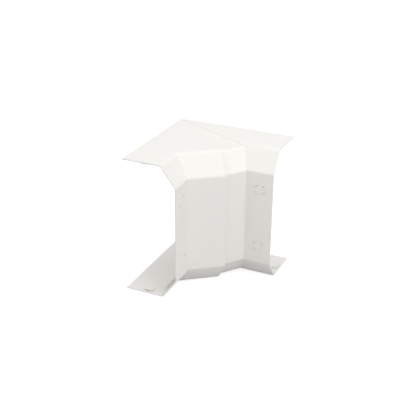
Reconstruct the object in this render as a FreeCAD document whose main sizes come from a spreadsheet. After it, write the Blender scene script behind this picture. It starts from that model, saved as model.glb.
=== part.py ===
import FreeCAD, Part
import math
import os
import Sketcher

# Adjustable internal corner for dado or skirting trunking, moulded as two covers.
# Each cover is a C-shaped arm that lies on one wall, with one half of the diagonal front.
# The left cover is the outer one. The diagonal of the right cover is set back by a wall
# and a running gap, and slides under the left cover when the corner opens or closes.
#
# The origin is the upright line where the two walls meet, at the underside. The right arm
# runs along +X on the wall plane y = 0, the left arm along -Y on the wall plane x = 0, and
# the room is between them. Sizes are in millimetres and degrees.

SIZES = {
    "cover_height": 174,
    "cover_depth": 69.5,
    "arm_length": 156,
    "wall": 1.5,
    "running_gap": 0.8,
    "bevel_run": 19.4,
    "bevel_rise": 25.8,
    "fold_radius": 6,
    "front_length": 32,
    "facet_tilt": 8,
    "lap_edge_angle": 3.2,
    "slide_end_angle": 6,
    "joggle_angle": 18.8,
    "joggle_run": 1.8,
    "snap_from_end": 17,
    "snap_spacing": 77,
    "snap_ring_radius": 7.1,
    "snap_groove_width": 0.6,
    "snap_groove_depth": 0.3,
    "spigot_radius": 6.1,
    "spigot_bore_radius": 4.5,
    "spigot_length": 2.2,
    "window_spread": 38,
    "collar_overhang": 1.1,
    "collar_length": 1.2,
    "catch_from_wall": 22,
    "catch_width": 12,
    "catch_from_end": 2.6,
    "catch_length": 14,
    "catch_height": 1.6,
    "rib_from_wall": 45,
    "rib_thickness": 1.6,
    "rib_from_end": 11,
    "rib_length": 40,
    "rib_lead_length": 7,
    "rib_lead_height": 1.6,
    "rib_height": 3.5,
    "overcut": 1,
}

WINDOWS_PER_SNAP = 4

doc = FreeCAD.newDocument("InternalCorner")
sheet = doc.addObject("Spreadsheet::Sheet", "Sizes")
for row, (alias, size) in enumerate(SIZES.items(), start=1):
    sheet.set(f"A{row}", alias)
    sheet.set(f"B{row}", str(size))
    sheet.setAlias(f"B{row}", alias)
doc.recompute()

# Expressions that several features share. The diagonal starts where the arm's straight
# front ends, so its distance from the pivot line follows from the arm's sizes. A section
# set inwards keeps its shape, so each fold moves along the line that halves its angle.
CREASE_ALONG = "(Sizes.arm_length - Sizes.front_length) * cos(45 - Sizes.facet_tilt)"
CREASE_ACROSS = "Sizes.cover_depth * sin(45 - Sizes.facet_tilt)"
FACET_DISTANCE = f"({CREASE_ALONG} + {CREASE_ACROSS})"
CREASE_SIDEWAYS = "(Sizes.arm_length - Sizes.front_length) * sin(45 - Sizes.facet_tilt)"
PLATE_SIDEWAYS = "(Sizes.cover_depth - Sizes.bevel_run) * cos(45 - Sizes.facet_tilt)"
RECESS = "(Sizes.wall + Sizes.running_gap)"
SLOPE_LENGTH = "sqrt(Sizes.bevel_run ^ 2 + Sizes.bevel_rise ^ 2)"
PLATE_FOLD_SHIFT = f"(({SLOPE_LENGTH} - Sizes.bevel_run) / Sizes.bevel_rise)"
FRONT_FOLD_SHIFT = f"(({SLOPE_LENGTH} - Sizes.bevel_rise) / Sizes.bevel_run)"
RAMP_LENGTH = f"sqrt({RECESS} ^ 2 + Sizes.joggle_run ^ 2)"
RAMP_FOLD_SHIFT = f"(({RAMP_LENGTH} - Sizes.joggle_run) / {RECESS})"
FAR = "(2 * Sizes.arm_length)"


def number(expression):
    """What an expression of the sheet's cells comes to now."""
    return float(sheet.evalExpression(expression))


def new_sketch(body, name, plane="XZ_Plane", turn="0", shift_x="0", shift_z="0"):
    """A sketch on one of the body's own planes. An upright one is turned clockwise about Z,
    as seen from above, and shifted along the plane's x and normal first."""
    sketch = body.newObject("Sketcher::SketchObject", name)
    plane_object = next(p for p in body.Origin.OriginFeatures if p.Role == plane)
    sketch.AttachmentSupport = [(plane_object, "")]
    sketch.MapMode = "FlatFace"
    clockwise = FreeCAD.Rotation(FreeCAD.Vector(0, -1, 0), 1)
    sketch.AttachmentOffset = FreeCAD.Placement(FreeCAD.Vector(), clockwise)
    sketch.setExpression(".AttachmentOffset.Rotation.Angle", turn)
    sketch.setExpression(".AttachmentOffset.Base.x", shift_x)
    sketch.setExpression(".AttachmentOffset.Base.z", shift_z)
    return sketch


def bind(sketch, kind, *where, to, name):
    """Add a dimension to a sketch and tie it to an expression."""
    index = sketch.addConstraint(Sketcher.Constraint(kind, *where, number(to)))
    sketch.renameConstraint(index, name)
    sketch.setExpression(f"Constraints.{name}", to)


def place_point(sketch, geometry, end, across, up, name):
    """Tie a point of a sketch to its distances from the sketch's origin."""
    bind(sketch, "DistanceX", -1, 1, geometry, end, to=across, name=f"{name}_across")
    bind(sketch, "DistanceY", -1, 1, geometry, end, to=up, name=f"{name}_up")


def draw_polygon(sketch, corners, name):
    """A closed outline of straight lines through corners, each a pair of expressions."""
    points = [FreeCAD.Vector(number(across), number(up), 0) for across, up in corners]
    count = len(points)
    lines = []
    for i, point in enumerate(points):
        lines.append(sketch.addGeometry(Part.LineSegment(point, points[(i + 1) % count])))
    for i, line in enumerate(lines):
        sketch.addConstraint(Sketcher.Constraint("Coincident", line, 2, lines[(i + 1) % count], 1))
    for i, (across, up) in enumerate(corners):
        place_point(sketch, lines[i], 1, across, up, f"{name}_{i}")


def draw_circle(sketch, across, up, radius, name):
    """A circle whose centre and radius are expressions."""
    centre = FreeCAD.Vector(number(across), number(up), 0)
    circle = sketch.addGeometry(Part.Circle(centre, FreeCAD.Vector(0, 0, 1), number(radius)))
    place_point(sketch, circle, 3, across, up, name)
    bind(sketch, "Radius", circle, to=radius, name=f"{name}_radius")


def draw_window(sketch, across, up, inner, outer, middle, spread, name):
    """A short curved slot: a piece of a ring, centred on the direction middle, in degrees."""
    centre = FreeCAD.Vector(number(across), number(up), 0)
    first = middle - number(spread) / 2
    last = middle + number(spread) / 2
    rims = []
    for radius in (inner, outer):
        ring = Part.Circle(centre, FreeCAD.Vector(0, 0, 1), number(radius))
        rims.append(sketch.addGeometry(Part.ArcOfCircle(ring, math.radians(first), math.radians(last))))
    ends = []
    for angle in (first, last):
        along = FreeCAD.Vector(math.cos(math.radians(angle)), math.sin(math.radians(angle)), 0)
        near, far = centre + along * number(inner), centre + along * number(outer)
        ends.append(sketch.addGeometry(Part.LineSegment(near, far)))
    for end, line in enumerate(ends, start=1):
        sketch.addConstraint(Sketcher.Constraint("Coincident", line, 1, rims[0], end))
        sketch.addConstraint(Sketcher.Constraint("Coincident", line, 2, rims[1], end))
        sketch.addConstraint(Sketcher.Constraint("PointOnObject", rims[0], 3, line))
    sketch.addConstraint(Sketcher.Constraint("Coincident", rims[0], 3, rims[1], 3))
    place_point(sketch, rims[0], 3, across, up, name)
    bind(sketch, "Radius", rims[0], to=inner, name=f"{name}_inner")
    bind(sketch, "Radius", rims[1], to=outer, name=f"{name}_outer")
    for place, line, sign in (("first", ends[0], "-"), ("last", ends[1], "+")):
        sideways = f"{outer} * sin({middle} {sign} {spread} / 2)"
        bind(sketch, "DistanceY", rims[0], 3, line, 2, to=sideways, name=f"{name}_{place}")


def draw_section(sketch, reach, inset, back="0"):
    """The cover's section: plate, bevel, upright front, bevel, plate, with rounded folds.
    Across is the distance from the wall or the pivot line, and up is the height. inset
    sets the whole outline inwards from the outer skin, and back is where it is closed."""
    low = inset
    high = f"Sizes.cover_height - {inset}"
    front = f"{reach} - {inset}"
    plate_fold = f"{reach} - Sizes.bevel_run - {inset} * {PLATE_FOLD_SHIFT}"
    fold_drop = f"Sizes.bevel_rise + {inset} * {FRONT_FOLD_SHIFT}"
    radius = f"Sizes.fold_radius - {inset}"
    rise = math.atan2(number("Sizes.bevel_rise"), number("Sizes.bevel_run"))
    headings = [0, rise, math.pi / 2, math.pi - rise, math.pi]
    folds = [
        (plate_fold, low),
        (front, fold_drop),
        (front, f"Sizes.cover_height - ({fold_drop})"),
        (plate_fold, high),
    ]
    start = FreeCAD.Vector(number(back), number(low), 0)
    last = FreeCAD.Vector(number(back), number(high), 0)
    chain = []
    here = start
    for (across, up), arriving, leaving in zip(folds, headings, headings[1:]):
        corner = FreeCAD.Vector(number(across), number(up), 0)
        trim = number(radius) * math.tan((leaving - arriving) / 2)
        before = corner - FreeCAD.Vector(math.cos(arriving), math.sin(arriving), 0) * trim
        after = corner + FreeCAD.Vector(math.cos(leaving), math.sin(leaving), 0) * trim
        turn_in = FreeCAD.Vector(-math.sin(arriving), math.cos(arriving), 0)
        round_part = Part.Circle(before + turn_in * number(radius), FreeCAD.Vector(0, 0, 1), number(radius))
        chain.append(sketch.addGeometry(Part.LineSegment(here, before)))
        quarter = math.pi / 2
        chain.append(sketch.addGeometry(Part.ArcOfCircle(round_part, arriving - quarter, leaving - quarter)))
        here = after
    chain.append(sketch.addGeometry(Part.LineSegment(here, last)))
    closing = sketch.addGeometry(Part.LineSegment(last, start))
    for first, second in zip(chain, chain[1:]):
        sketch.addConstraint(Sketcher.Constraint("Tangent", first, 2, second, 1))
    sketch.addConstraint(Sketcher.Constraint("Coincident", chain[-1], 2, closing, 1))
    sketch.addConstraint(Sketcher.Constraint("Coincident", closing, 2, chain[0], 1))
    bottom, low_bevel, front_line, high_bevel, top = chain[0::2]
    for line in (bottom, top):
        sketch.addConstraint(Sketcher.Constraint("Horizontal", line))
    for line in (front_line, closing):
        sketch.addConstraint(Sketcher.Constraint("Vertical", line))
    for i, arc in enumerate(chain[1::2]):
        bind(sketch, "Radius", arc, to=radius, name=f"fold_{i}_radius")
    meetings = [(bottom, low_bevel), (low_bevel, front_line), (front_line, high_bevel), (high_bevel, top)]
    for i, ((across, up), lines) in enumerate(zip(folds, meetings)):
        corner = sketch.addGeometry(Part.Point(FreeCAD.Vector(number(across), number(up), 0)), True)
        for line in lines:
            sketch.addConstraint(Sketcher.Constraint("PointOnObject", corner, 1, line))
        bind(sketch, "DistanceY", -1, 1, corner, 1, to=up, name=f"fold_{i}_up")
        if i != 2:
            bind(sketch, "DistanceX", -1, 1, corner, 1, to=across, name=f"fold_{i}_across")
    bind(sketch, "DistanceX", -1, 1, closing, 1, to=back, name="back")


def add_feature(body, kind, sketch, length, midplane=False, backwards=False):
    """A Pad or a Pocket of a sketch, with its length tied to an expression."""
    feature = body.newObject(f"PartDesign::{kind}", f"{sketch.Name}_{kind.lower()}")
    feature.Profile = sketch
    feature.Midplane = midplane
    feature.Reversed = backwards
    feature.setExpression("Length", length)
    return feature


class Side:
    """One arm: where its planes lie, and which way they face."""

    def __init__(self, name):
        self.name = name
        self.is_right = name == "right"
        self.along_turn = "0" if self.is_right else "90"
        self.across_turn = "90" if self.is_right else "0"
        tilt_sign = "-" if self.is_right else "+"
        self.facet_turn = f"45 {tilt_sign} Sizes.facet_tilt"

    def along_plane(self, body, name, from_wall):
        """A sketch plane along the arm, its x the distance from the wall corner."""
        if self.is_right:
            return new_sketch(body, name, turn=self.along_turn, shift_z=from_wall)
        return new_sketch(body, name, turn=self.along_turn, shift_x=from_wall)

    def across_plane(self, body, name, from_corner):
        """A sketch plane across the arm, its x the distance from the wall."""
        if self.is_right:
            return new_sketch(body, name, turn=self.across_turn, shift_x=from_corner)
        return new_sketch(body, name, turn=self.across_turn, shift_z=from_corner)

    def cut(self, body, sketch, depth, towards):
        """A pocket from a plane along the arm, towards the wall or the room."""
        return add_feature(body, "Pocket", sketch, depth, backwards=(towards == "room") == self.is_right)


def arm(body, side, inset, end_overcut, back):
    """The arm's straight block, from past its open end to the wall corner."""
    start = f"Sizes.arm_length + {end_overcut}"
    sketch = side.across_plane(body, f"{side.name}_arm", start)
    draw_section(sketch, "Sizes.cover_depth", inset, back)
    add_feature(body, "Pad", sketch, f"{start} + {end_overcut}", backwards=not side.is_right)


def joggle_ramps(body, skin):
    """Take the arm's block down to the level of the set-back sector, top and bottom, beyond
    the line that runs from the wall corner to the crease. The step is a ramp."""
    foot = f"-{skin} * {RAMP_FOLD_SHIFT}"
    drop = f"({RECESS} + {skin})"
    ramp_top = f"{foot} - ({drop} + Sizes.overcut) * Sizes.joggle_run / {RECESS}"
    sketch = new_sketch(body, f"{body.Name}_joggle", turn="135 - Sizes.joggle_angle")
    low = [(foot, drop), (ramp_top, "-Sizes.overcut"), (FAR, "-Sizes.overcut"), (FAR, drop)]
    high = [(across, f"Sizes.cover_height - ({up})") for across, up in low]
    draw_polygon(sketch, low, "low")
    draw_polygon(sketch, high, "high")
    add_feature(body, "Pocket", sketch, f"2 * {FAR}", midplane=True)


def facet(body, side, inset, back):
    """The straight part of the diagonal front, as deep as the pivot line. It runs from its
    own middle into the arm, past the crease, and on the left past the lap edge too."""
    sketch = new_sketch(body, f"{body.Name}_facet", turn=side.facet_turn)
    draw_section(sketch, FACET_DISTANCE, inset, back)
    into_arm = f"{CREASE_SIDEWAYS} - {PLATE_SIDEWAYS}"
    add_feature(body, "Pad", sketch, into_arm, backwards=side.is_right)
    if not side.is_right:
        add_feature(body, "Pad", sketch, f"{FACET_DISTANCE} / 2", backwards=True)


def slide(body, side, inset, past_end):
    """The hidden part of the right cover's diagonal, turned about the pivot line, so that
    it keeps its gap to the left cover as the corner moves."""
    sketch = new_sketch(body, f"{body.Name}_slide", turn=side.facet_turn)
    draw_section(sketch, FACET_DISTANCE, inset)
    sweep = body.newObject("PartDesign::Revolution", f"{body.Name}_slide_sweep")
    sweep.Profile = sketch
    sweep.ReferenceAxis = (sketch, ["V_Axis"])
    sweep.Reversed = True
    sweep.setExpression("Angle", f"Sizes.facet_tilt + Sizes.slide_end_angle + {past_end}")


def trim_to_wedge(body, first_angle, last_angle):
    """Keep the plan between two directions from the wall corner, given in degrees clockwise
    from +X: the walls' planes and the cover's free radial edge."""
    sketch = new_sketch(body, f"{body.Name}_trim", plane="XY_Plane")
    corners = [
        ("0", "0"),
        (f"{FAR} * cos({first_angle})", f"-{FAR} * sin({first_angle})"),
        (FAR, FAR),
        (f"-{FAR}", FAR),
        (f"-{FAR}", f"-{FAR}"),
        (f"{FAR} * cos({last_angle})", f"-{FAR} * sin({last_angle})"),
    ]
    draw_polygon(sketch, corners, "keep_out")
    add_feature(body, "Pocket", sketch, f"2 * {FAR}", midplane=True)


def snap_centres():
    """The snap marks of one arm, as distances from the wall corner and heights."""
    along = "Sizes.arm_length - Sizes.snap_from_end"
    return [(along, f"Sizes.cover_height / 2 {sign} Sizes.snap_spacing / 2") for sign in "-+"]


def snap_marks(body, side):
    """On the front: a fine ring, and four curved windows between it and the spigot's wall,
    so that the spigot gives a little as its collar snaps in."""
    ring = side.along_plane(body, f"{side.name}_rings", "Sizes.cover_depth")
    for i, (along, up) in enumerate(snap_centres()):
        draw_circle(ring, along, up, "Sizes.snap_ring_radius", f"outer_{i}")
        inner = "Sizes.snap_ring_radius - Sizes.snap_groove_width"
        draw_circle(ring, along, up, inner, f"inner_{i}")
    side.cut(body, ring, "Sizes.snap_groove_depth", "wall")
    windows = side.along_plane(body, f"{side.name}_windows", "Sizes.cover_depth")
    rims = ("Sizes.spigot_radius", "Sizes.snap_ring_radius")
    for i, (along, up) in enumerate(snap_centres()):
        for k in range(WINDOWS_PER_SNAP):
            middle = (k + 0.5) * 360 / WINDOWS_PER_SNAP
            draw_window(windows, along, up, *rims, middle, "Sizes.window_spread", f"window_{i}_{k}")
    side.cut(body, windows, "Sizes.wall + Sizes.overcut", "wall")


def draw_tubes(sketch, outer):
    """The cross-section of both spigots, from their bore out to a radius."""
    for i, (along, up) in enumerate(snap_centres()):
        draw_circle(sketch, along, up, outer, f"outer_{i}")
        draw_circle(sketch, along, up, "Sizes.spigot_bore_radius", f"bore_{i}")


def spigots(body, side):
    """Behind each snap mark: a short tube with a collar at its tip, that snaps into a hole
    in the trunking. They are hollows in the core, so they are solid in the cover."""
    tubes = side.along_plane(body, f"{side.name}_spigots", "Sizes.cover_depth")
    draw_tubes(tubes, "Sizes.spigot_radius")
    side.cut(body, tubes, "Sizes.wall + Sizes.spigot_length", "wall")
    collar_plane = "Sizes.cover_depth - Sizes.wall - Sizes.spigot_length + Sizes.collar_length"
    collars = side.along_plane(body, f"{side.name}_collars", collar_plane)
    draw_tubes(collars, "Sizes.spigot_radius + Sizes.collar_overhang")
    side.cut(body, collars, "Sizes.collar_length", "wall")


def both_plates(sketch, outline):
    """Draw an outline that stands on the bottom plate, and its mirror under the top one."""
    draw_polygon(sketch, outline, "low")
    hanging = [(along, f"Sizes.cover_height - ({up})") for along, up in outline]
    draw_polygon(sketch, hanging, "high")


def catches(body, side):
    """The ramped catches on the insides of both plates, just inside the arm's end."""
    outer_end = "Sizes.arm_length - Sizes.catch_from_end"
    inner_end = f"{outer_end} - Sizes.catch_length"
    sketch = side.along_plane(body, f"{side.name}_catches", "Sizes.catch_from_wall")
    outline = [
        (outer_end, "Sizes.wall - Sizes.overcut"),
        (outer_end, "Sizes.wall + Sizes.catch_height"),
        (inner_end, "Sizes.wall"),
        (inner_end, "Sizes.wall - Sizes.overcut"),
    ]
    both_plates(sketch, outline)
    side.cut(body, sketch, "Sizes.catch_width", "room")


def ribs(body, side):
    """The locating ribs beside the bevels, each with a low lead towards the arm's end."""
    lead_end = "Sizes.arm_length - Sizes.rib_from_end"
    step = f"{lead_end} - Sizes.rib_lead_length"
    inner_end = f"{lead_end} - Sizes.rib_length"
    sketch = side.along_plane(body, f"{side.name}_ribs", "Sizes.rib_from_wall")
    outline = [
        (lead_end, "Sizes.wall - Sizes.overcut"),
        (lead_end, "Sizes.wall + Sizes.rib_lead_height"),
        (step, "Sizes.wall + Sizes.rib_lead_height"),
        (step, "Sizes.wall + Sizes.rib_height"),
        (inner_end, "Sizes.wall + Sizes.rib_height"),
        (inner_end, "Sizes.wall - Sizes.overcut"),
    ]
    both_plates(sketch, outline)
    side.cut(body, sketch, "Sizes.rib_thickness", "room")


def left_outside(side):
    """The left cover's outer form, as a solid."""
    body = doc.addObject("PartDesign::Body", "left_outside")
    arm(body, side, inset="0", end_overcut="0", back="0")
    facet(body, side, inset="0", back="0")
    trim_to_wedge(body, "45 - Sizes.lap_edge_angle", "90")
    snap_marks(body, side)
    return body


def left_core(side):
    """The space inside the left cover, run out past its open sides."""
    body = doc.addObject("PartDesign::Body", "left_core")
    arm(body, side, inset="Sizes.wall", end_overcut="Sizes.overcut", back="-Sizes.overcut")
    facet(body, side, inset="Sizes.wall", back="-Sizes.overcut")
    spigots(body, side)
    catches(body, side)
    ribs(body, side)
    return body


def right_outside(side):
    """The right cover's outer form, with its diagonal set back."""
    body = doc.addObject("PartDesign::Body", "right_outside")
    arm(body, side, inset="0", end_overcut="0", back="0")
    joggle_ramps(body, skin="0")
    facet(body, side, inset=RECESS, back="0")
    slide(body, side, inset=RECESS, past_end="0")
    trim_to_wedge(body, "0", "45 + Sizes.slide_end_angle")
    snap_marks(body, side)
    return body


def right_core(side):
    """The space inside the right cover, run out past its open sides."""
    body = doc.addObject("PartDesign::Body", "right_core")
    arm(body, side, inset="Sizes.wall", end_overcut="Sizes.overcut", back="-Sizes.overcut")
    joggle_ramps(body, skin="Sizes.wall")
    facet(body, side, inset=f"({RECESS} + Sizes.wall)", back="-Sizes.overcut")
    slide(body, side, inset=f"({RECESS} + Sizes.wall)", past_end="Sizes.overcut")
    spigots(body, side)
    catches(body, side)
    ribs(body, side)
    return body


def cover(name, outside, core):
    """A moulding: its outer form less its core, as its mould makes it."""
    moulding = doc.addObject("Part::Cut", name)
    moulding.Label = name
    moulding.Base = outside
    moulding.Tool = core
    return moulding


left = Side("left")
right = Side("right")
covers = [
    cover("left_cover", left_outside(left), left_core(left)),
    cover("right_cover", right_outside(right), right_core(right)),
]
doc.recompute()

for item in doc.Objects:
    if "Invalid" in item.State or "Error" in item.State:
        raise RuntimeError(f"{item.Name} did not build: {item.State}")

os.makedirs("parts", exist_ok=True)
for moulding in covers:
    shape = moulding.Shape
    if shape.isNull() or not shape.isValid() or len(shape.Solids) != 1:
        raise RuntimeError(f"{moulding.Label} is not one sound solid")
    shape.exportStep(f"parts/{moulding.Label}.step")
    print(f"{moulding.Label}: {shape.Volume / 1000:.1f} cm3")
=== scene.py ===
# %% [markdown]
# # An adjustable internal corner for wall trunking
#
# Where trunking runs along two walls and turns in the corner of a room, this white fitting
# covers the turn. It is moulded as two covers. The right one carries a set-back sector that
# slides under the left one, so that the pair fits corners a few degrees off square.
#
# The measured solids are already made. This lesson gives them soft moulded edges, a moulded
# plastic finish, soft studio light and the camera of a catalogue picture.

# %% The measured frame
import math

import bmesh
import bpy
from mathutils import Matrix, Vector


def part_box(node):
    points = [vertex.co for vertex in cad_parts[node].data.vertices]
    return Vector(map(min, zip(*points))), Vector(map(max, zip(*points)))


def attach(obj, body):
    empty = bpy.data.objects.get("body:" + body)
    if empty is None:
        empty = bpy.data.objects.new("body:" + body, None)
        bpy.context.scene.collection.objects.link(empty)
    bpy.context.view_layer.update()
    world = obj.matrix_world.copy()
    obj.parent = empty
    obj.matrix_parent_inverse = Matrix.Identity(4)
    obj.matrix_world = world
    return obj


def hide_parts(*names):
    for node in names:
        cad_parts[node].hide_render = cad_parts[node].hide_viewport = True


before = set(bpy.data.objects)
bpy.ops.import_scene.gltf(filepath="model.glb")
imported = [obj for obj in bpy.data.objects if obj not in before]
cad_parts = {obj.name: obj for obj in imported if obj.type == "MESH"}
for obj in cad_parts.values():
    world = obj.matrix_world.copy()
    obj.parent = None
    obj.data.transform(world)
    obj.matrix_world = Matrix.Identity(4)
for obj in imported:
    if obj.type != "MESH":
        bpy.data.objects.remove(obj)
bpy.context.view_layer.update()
for cover_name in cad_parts:
    low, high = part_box(cover_name)
    print(cover_name, "from", tuple(round(v, 4) for v in low), "to", tuple(round(v, 4) for v in high))

# %% [markdown]
# ## Sprung catches
#
# Just inside the open end of each arm, both plates carry a ramped catch for the trunking. On
# the real moulding it is a low tongue whose tip stands free of the plate, so that a dark gap
# shows under its end and sides. The solids have plain wedges there. It could be a separate
# tongue, but it is one with its cover, so in the dressed copy only the foot of each wedge is
# drawn back under its own ramp: the height and the outline seen from above stay the same.

# %% The free tip of a catch
# Where a wedge's feet stand, in metres: along the arm, out from the wall, and up.
CATCH_TIP = 0.1534
CATCH_SIDES = (0.022, 0.034)
PLATE_INSIDES = (0.0015, 0.1725)
CORNER_MATCH = 1e-5
# How far they go in under the ramp, from the tip and from either side.
CATCH_UNDERCUT = 0.0055
CATCH_PINCH = 0.0032
# Each cover's ways along its arm and out from its wall.
ARM_DIRECTIONS = {
    "left_cover": (Vector((0, -1, 0)), Vector((1, 0, 0))),
    "right_cover": (Vector((1, 0, 0)), Vector((0, -1, 0))),
}


def lift_catch_tips(skin, node_name):
    """Draw the foot of each catch in under its ramp, so that the tip stands free."""
    along, across = ARM_DIRECTIONS[node_name]
    moved = 0
    for side, inwards in zip(CATCH_SIDES, (1, -1)):
        feet = [
            vert
            for vert in skin.verts
            if abs(vert.co.dot(along) - CATCH_TIP) < CORNER_MATCH
            and abs(vert.co.dot(across) - side) < CORNER_MATCH
            and min(abs(vert.co.z - level) for level in PLATE_INSIDES) < CORNER_MATCH
        ]
        step = across * (inwards * CATCH_PINCH) - along * CATCH_UNDERCUT
        bmesh.ops.translate(skin, verts=feet, vec=step)
        moved += len(feet)
    print(node_name, "has", moved, "catch corners drawn in")


# %% [markdown]
# ## One clean skin
#
# A solid comes as loose triangles. A bevel would round every seam between them, so each
# cover gets a dressed copy, and its triangles are first merged into one skin and its flat
# areas into single faces. It could be modelled anew, but the copy keeps the measured shape.
# Folds then shade smoothly, and edges sharper than a fold stay crisp.

# %% A dressed copy of a cover
MERGE_DISTANCE = 2e-6
FLAT_ANGLE = math.radians(0.15)
SHARP_ANGLE = math.radians(28)


def moulded_skin(node_name, piece_name):
    """A copy of a cover's solid as one welded skin with clean flat faces."""
    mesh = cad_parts[node_name].data.copy()
    mesh.name = piece_name
    mesh.materials.clear()
    skin = bmesh.new()
    skin.from_mesh(mesh)
    bmesh.ops.remove_doubles(skin, verts=skin.verts, dist=MERGE_DISTANCE)
    bmesh.ops.dissolve_limit(
        skin,
        angle_limit=FLAT_ANGLE,
        use_dissolve_boundaries=False,
        verts=skin.verts,
        edges=skin.edges,
    )
    lift_catch_tips(skin, node_name)
    for face in skin.faces:
        face.smooth = True
    for edge in skin.edges:
        edge.smooth = edge.is_manifold and edge.calc_face_angle() < SHARP_ANGLE
    open_edges = sum(1 for edge in skin.edges if not edge.is_manifold)
    skin.to_mesh(mesh)
    skin.free()
    piece = bpy.data.objects.new(piece_name, mesh)
    bpy.context.scene.collection.objects.link(piece)
    print(piece_name, "has", len(mesh.polygons), "faces and", open_edges, "open edges")
    return piece


# %% [markdown]
# ## Soft edges on the mouldings
#
# No edge of an injection moulding is knife sharp: the tool is polished, and each free edge
# has a radius of a few tenths of a millimetre that catches the light as a thin line. It
# could be cut into the mesh, but a bevel modifier keeps the radius one number that is easy
# to change. Shading by weighted normals then keeps the plates flat and the folds round.

# %% The covers in place of their solids
EDGE_RADIUS = 0.00028
COVERS = {"left_cover": "left_half", "right_cover": "right_half"}


def soften_edges(piece):
    """Round the free edges, and shade flats flat and folds round."""
    rounding = piece.modifiers.new("edge radius", "BEVEL")
    rounding.limit_method = "ANGLE"
    rounding.angle_limit = SHARP_ANGLE
    rounding.width = EDGE_RADIUS
    rounding.segments = 2
    rounding.harden_normals = True
    shading = piece.modifiers.new("flat plates, round folds", "WEIGHTED_NORMAL")
    shading.keep_sharp = True


dressed = {}
for node_name, body_name in COVERS.items():
    piece = moulded_skin(node_name, node_name + "_moulding")
    soften_edges(piece)
    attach(piece, body_name)
    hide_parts(node_name)
    dressed[node_name] = piece

# %% [markdown]
# ## White moulded plastic
#
# The trunking's plastic is a very slightly warm white with a satin skin. It shows a fine
# grain from the tool, a broad and faint unevenness where the skin has sunk as it cooled, and
# a gloss that changes a little from place to place. Pictures of plastic could be laid on it,
# but noise on Object coordinates keeps its true size and stays on the piece when it moves.

# %% Noise for a node tree
# A noise seldom leaves this middle part of its range from 0 to 1.
NOISE_LOW = 0.3
NOISE_HIGH = 0.7


def noise(tree, vector, scale, detail, location):
    """A noise texture read at a vector."""
    node = tree.nodes.new("ShaderNodeTexNoise")
    node.location = location
    node.inputs["Scale"].default_value = scale
    node.inputs["Detail"].default_value = detail
    tree.links.new(vector, node.inputs["Vector"])
    return node.outputs["Fac"]


def spread(tree, value, low, high, location):
    """Map the middle of a noise to a range, given as numbers or as sockets."""
    node = tree.nodes.new("ShaderNodeMapRange")
    node.location = location
    node.inputs["From Min"].default_value = NOISE_LOW
    node.inputs["From Max"].default_value = NOISE_HIGH
    tree.links.new(value, node.inputs["Value"])
    for name, source in (("To Min", low), ("To Max", high)):
        if isinstance(source, float):
            node.inputs[name].default_value = source
        else:
            tree.links.new(source, node.inputs[name])
    return node.outputs["Result"]


# %% [markdown]
# ## The skin as a node group
#
# Each cover has a material of its own, and both need the same drift of colour, drift of
# gloss and fine relief. The nodes could be laid out in each, but one group with named
# sockets is built once, and a change to it reaches both covers.

# %% Colour, gloss and relief
CLOUD_SCALE = 9.0
PATCH_SCALE = 52.0
SINK_SCALE = 26.0
GRAIN_SCALE = 1900.0


def add_socket(group, name, direction, kind):
    """A named input or output of a node group."""
    group.interface.new_socket(name=name, in_out=direction, socket_type=kind)


def moulded_skin_group():
    """Colour drift, gloss drift and a fine relief for moulded plastic."""
    group = bpy.data.node_groups.new("Moulded skin", "ShaderNodeTree")
    add_socket(group, "Tone light", "INPUT", "NodeSocketColor")
    add_socket(group, "Tone dark", "INPUT", "NodeSocketColor")
    add_socket(group, "Gloss low", "INPUT", "NodeSocketFloat")
    add_socket(group, "Gloss high", "INPUT", "NodeSocketFloat")
    add_socket(group, "Grain share", "INPUT", "NodeSocketFloat")
    add_socket(group, "Color", "OUTPUT", "NodeSocketColor")
    add_socket(group, "Roughness", "OUTPUT", "NodeSocketFloat")
    add_socket(group, "Height", "OUTPUT", "NodeSocketFloat")
    inputs = group.nodes.new("NodeGroupInput")
    inputs.location = (-900, 0)
    outputs = group.nodes.new("NodeGroupOutput")
    outputs.location = (500, 0)
    place = group.nodes.new("ShaderNodeTexCoord").outputs["Object"]

    clouds = noise(group, place, CLOUD_SCALE, 2.0, (-650, 250))
    drift = spread(group, clouds, 0.0, 1.0, (-400, 250))
    tone = group.nodes.new("ShaderNodeMix")
    tone.data_type = "RGBA"
    tone.location = (-150, 250)
    group.links.new(drift, tone.inputs["Factor"])
    group.links.new(inputs.outputs["Tone light"], tone.inputs["A"])
    group.links.new(inputs.outputs["Tone dark"], tone.inputs["B"])
    group.links.new(tone.outputs["Result"], outputs.inputs["Color"])

    patches = noise(group, place, PATCH_SCALE, 3.0, (-650, 0))
    gloss = spread(group, patches, inputs.outputs["Gloss low"], inputs.outputs["Gloss high"], (-400, 0))
    group.links.new(gloss, outputs.inputs["Roughness"])

    sink = noise(group, place, SINK_SCALE, 1.0, (-650, -250))
    grain = noise(group, place, GRAIN_SCALE, 2.0, (-650, -450))
    relief = group.nodes.new("ShaderNodeMix")
    relief.data_type = "FLOAT"
    relief.location = (-150, -300)
    group.links.new(inputs.outputs["Grain share"], relief.inputs["Factor"])
    group.links.new(sink, relief.inputs["A"])
    group.links.new(grain, relief.inputs["B"])
    group.links.new(relief.outputs["Result"], outputs.inputs["Height"])
    return group


skin_group = moulded_skin_group()
print(skin_group.name, "has", len(skin_group.nodes), "nodes")

# %% [markdown]
# ## A plastic for each cover
#
# The two covers come out of two moulds, but from the same plastic, so their tones and gloss
# are equal. One material could serve both. Each has its own, so that one cover can be
# dulled or tinted without the other. The relief is far too small to model, so it is bump.

# %% The plastic of each cover
TONE_LIGHT = (0.887, 0.873, 0.838, 1.0)
TONE_DARK = (0.872, 0.858, 0.822, 1.0)
GLOSS_LOW = 0.40
GLOSS_HIGH = 0.50
GRAIN_SHARE = 0.3
RELIEF_DEPTH = 0.00012
RELIEF_STRENGTH = 0.12
PLASTIC_IOR = 1.5


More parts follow.
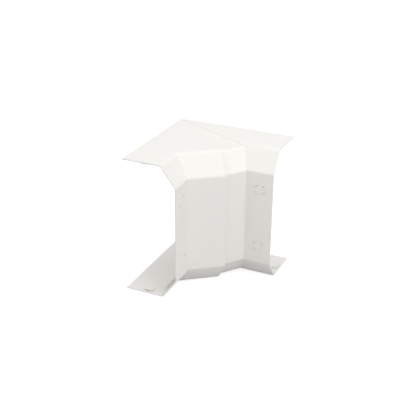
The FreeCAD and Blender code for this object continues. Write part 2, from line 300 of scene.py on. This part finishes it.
def moulded_plastic(name):
    """White satin plastic whose colour, gloss and relief come from the moulded skin."""
    material = bpy.data.materials.new(name)
    material.use_nodes = True
    tree = material.node_tree
    shader = tree.nodes["Principled BSDF"]
    skin = tree.nodes.new("ShaderNodeGroup")
    skin.node_tree = skin_group
    skin.location = (-500, 200)
    skin.inputs["Tone light"].default_value = TONE_LIGHT
    skin.inputs["Tone dark"].default_value = TONE_DARK
    skin.inputs["Gloss low"].default_value = GLOSS_LOW
    skin.inputs["Gloss high"].default_value = GLOSS_HIGH
    skin.inputs["Grain share"].default_value = GRAIN_SHARE
    relief = tree.nodes.new("ShaderNodeBump")
    relief.location = (-250, -150)
    relief.inputs["Strength"].default_value = RELIEF_STRENGTH
    relief.inputs["Distance"].default_value = RELIEF_DEPTH
    tree.links.new(skin.outputs["Color"], shader.inputs["Base Color"])
    tree.links.new(skin.outputs["Roughness"], shader.inputs["Roughness"])
    tree.links.new(skin.outputs["Height"], relief.inputs["Height"])
    tree.links.new(relief.outputs["Normal"], shader.inputs["Normal"])
    shader.inputs["IOR"].default_value = PLASTIC_IOR
    return material


for node_name, piece in dressed.items():
    plastic = moulded_plastic(node_name.replace("_", " ") + " plastic")
    piece.data.materials.append(plastic)
    print(piece.name, "is made of", plastic.name)

# %% [markdown]
# ## A pale studio floor
#
# The catalogue picture is almost shadowless, on white. The floor is one wide sheet of paper,
# a grid of a single face. A white sheet would throw much light up under the plates, so the
# paper's own colour is a mid grey. A glow that only the camera, mirrors and glass see makes
# it white in the picture, and it still keeps the fitting's faint shadow.

# %% Floor
FLOOR_HALF_SIZE = 6.0


def make_floor():
    """A wide sheet at the level that the fitting stands on."""
    sheet = bmesh.new()
    bmesh.ops.create_grid(sheet, x_segments=1, y_segments=1, size=FLOOR_HALF_SIZE)
    mesh = bpy.data.meshes.new("studio_floor")
    sheet.to_mesh(mesh)
    sheet.free()
    floor = bpy.data.objects.new("studio_floor", mesh)
    bpy.context.scene.collection.objects.link(floor)
    return floor


floor = make_floor()
print(floor.name, "is", 2 * FLOOR_HALF_SIZE, "m wide")

# %% Paper that the camera sees as white
PAPER_GREY = (0.48, 0.48, 0.48, 1.0)
PAPER_ROUGHNESS = 0.9
PAPER_GLOW = 0.75


def white_to_the_camera(tree, surface, strength):
    """Add a glow that only the camera, mirrors and glass see, over a surface shader."""
    paths = tree.nodes.new("ShaderNodeLightPath")
    seen = tree.nodes.new("ShaderNodeMath")
    seen.operation = "MAXIMUM"
    tree.links.new(paths.outputs["Is Camera Ray"], seen.inputs[0])
    tree.links.new(paths.outputs["Is Glossy Ray"], seen.inputs[1])
    seen_through = tree.nodes.new("ShaderNodeMath")
    seen_through.operation = "MAXIMUM"
    tree.links.new(seen.outputs[0], seen_through.inputs[0])
    tree.links.new(paths.outputs["Is Transmission Ray"], seen_through.inputs[1])
    amount = tree.nodes.new("ShaderNodeMath")
    amount.operation = "MULTIPLY"
    amount.inputs[1].default_value = strength
    tree.links.new(seen_through.outputs[0], amount.inputs[0])
    glow = tree.nodes.new("ShaderNodeEmission")
    tree.links.new(amount.outputs[0], glow.inputs["Strength"])
    total = tree.nodes.new("ShaderNodeAddShader")
    tree.links.new(surface, total.inputs[0])
    tree.links.new(glow.outputs[0], total.inputs[1])
    return total.outputs[0]


paper = bpy.data.materials.new("white paper")
paper.use_nodes = True
paper_tree = paper.node_tree
paper_shader = paper_tree.nodes["Principled BSDF"]
paper_shader.inputs["Base Color"].default_value = PAPER_GREY
paper_shader.inputs["Roughness"].default_value = PAPER_ROUGHNESS
glowing = white_to_the_camera(paper_tree, paper_shader.outputs[0], PAPER_GLOW)
paper_tree.links.new(glowing, paper_tree.nodes["Material Output"].inputs["Surface"])
floor.data.materials.append(paper)
print(floor.name, "is made of", paper.name)

# %% [markdown]
# ## An even sky
#
# Beyond the paper the picture is plain white. A sky of that strength would wash the shading
# out, so the camera sees a white sky, and a dimmer one lights the fitting.

# %% The sky
WHITE = (1.0, 1.0, 1.0, 1.0)
SEEN_SKY_STRENGTH = 1.0
SKY_STRENGTH = 0.66


def white_sky(tree, strength):
    """An even white background of one strength."""
    sky = tree.nodes.new("ShaderNodeBackground")
    sky.inputs["Color"].default_value = WHITE
    sky.inputs["Strength"].default_value = strength
    return sky.outputs[0]


world = bpy.data.worlds.new("even white")
bpy.context.scene.world = world
world.use_nodes = True
sky_tree = world.node_tree
sky_tree.nodes.clear()
sky_paths = sky_tree.nodes.new("ShaderNodeLightPath")
sky_choice = sky_tree.nodes.new("ShaderNodeMixShader")
sky_end = sky_tree.nodes.new("ShaderNodeOutputWorld")
sky_tree.links.new(sky_paths.outputs["Is Camera Ray"], sky_choice.inputs["Fac"])
sky_tree.links.new(white_sky(sky_tree, SKY_STRENGTH), sky_choice.inputs[1])
sky_tree.links.new(white_sky(sky_tree, SEEN_SKY_STRENGTH), sky_choice.inputs[2])
sky_tree.links.new(sky_choice.outputs[0], sky_end.inputs["Surface"])
print("the sky lights at", SKY_STRENGTH, "and shows as", SEEN_SKY_STRENGTH)

# %% [markdown]
# ## Four soft lamps
#
# One lamp alone would leave the recesses too dark, so four large soft lamps share the work:
# one high on the right, one overhead, a low fill in front and a weak one high on the left.
# The diagonal bevels come out lightest, then the plates, then the upright fronts, and the
# undersides of the bevels are the darkest.

# %% Lamps
LOOK_AT = Vector((0.0517, -0.031, 0.0694))


def away_from_fitting(azimuth, elevation):
    """The way from the fitting to a lamp or camera. Azimuth 0 is in front, towards -Y."""
    turn, rise = math.radians(azimuth), math.radians(elevation)
    return Vector((math.sin(turn) * math.cos(rise), -math.cos(turn) * math.cos(rise), math.sin(rise)))


def soft_lamp(name, azimuth, elevation, distance, size, power):
    """A square lamp that looks at the fitting, with its size in metres and power in watts."""
    away = away_from_fitting(azimuth, elevation)
    light = bpy.data.lights.new(name, "AREA")
    light.shape = "SQUARE"
    light.size = size
    light.energy = power
    lamp = bpy.data.objects.new(name, light)
    lamp.location = LOOK_AT + away * distance
    lamp.rotation_euler = away.to_track_quat("Z", "Y").to_euler()
    bpy.context.scene.collection.objects.link(lamp)
    print(name, "gives", power, "W")


soft_lamp("right softbox", azimuth=78, elevation=50, distance=1.6, size=1.0, power=5.0)
soft_lamp("left softbox", azimuth=-60, elevation=45, distance=1.6, size=1.0, power=2.4)
soft_lamp("low front fill", azimuth=40, elevation=12, distance=1.8, size=1.2, power=5.3)
soft_lamp("overhead softbox", azimuth=0, elevation=88, distance=1.6, size=1.2, power=4.8)

# %% [markdown]
# ## The camera
#
# The object's corners in the catalogue picture fit one camera: a long lens, a little to the
# right of the square-on view and about 25 degrees above it.

# %% Camera
CAMERA_AZIMUTH = 24.23
CAMERA_ELEVATION = 25.4
CAMERA_ROLL = 0.49
CAMERA_DISTANCE = 1.0557
LENS = 69.99
SENSOR_WIDTH = 36.0

camera_data = bpy.data.cameras.new("catalogue camera")
camera_data.lens = LENS
camera_data.sensor_width = SENSOR_WIDTH
camera_data.sensor_fit = "HORIZONTAL"
camera = bpy.data.objects.new("catalogue camera", camera_data)
bpy.context.scene.collection.objects.link(camera)
bpy.context.scene.camera = camera
back = away_from_fitting(CAMERA_AZIMUTH, CAMERA_ELEVATION)
roll = Matrix.Rotation(math.radians(CAMERA_ROLL), 4, "Z")
camera.matrix_world = Matrix.Translation(LOOK_AT + back * CAMERA_DISTANCE) @ (
    back.to_track_quat("Z", "Y").to_matrix().to_4x4() @ roll
)
bpy.context.scene.view_settings.view_transform = "Standard"
print(camera.name, "stands", CAMERA_DISTANCE, "m away with a lens of", LENS, "mm")
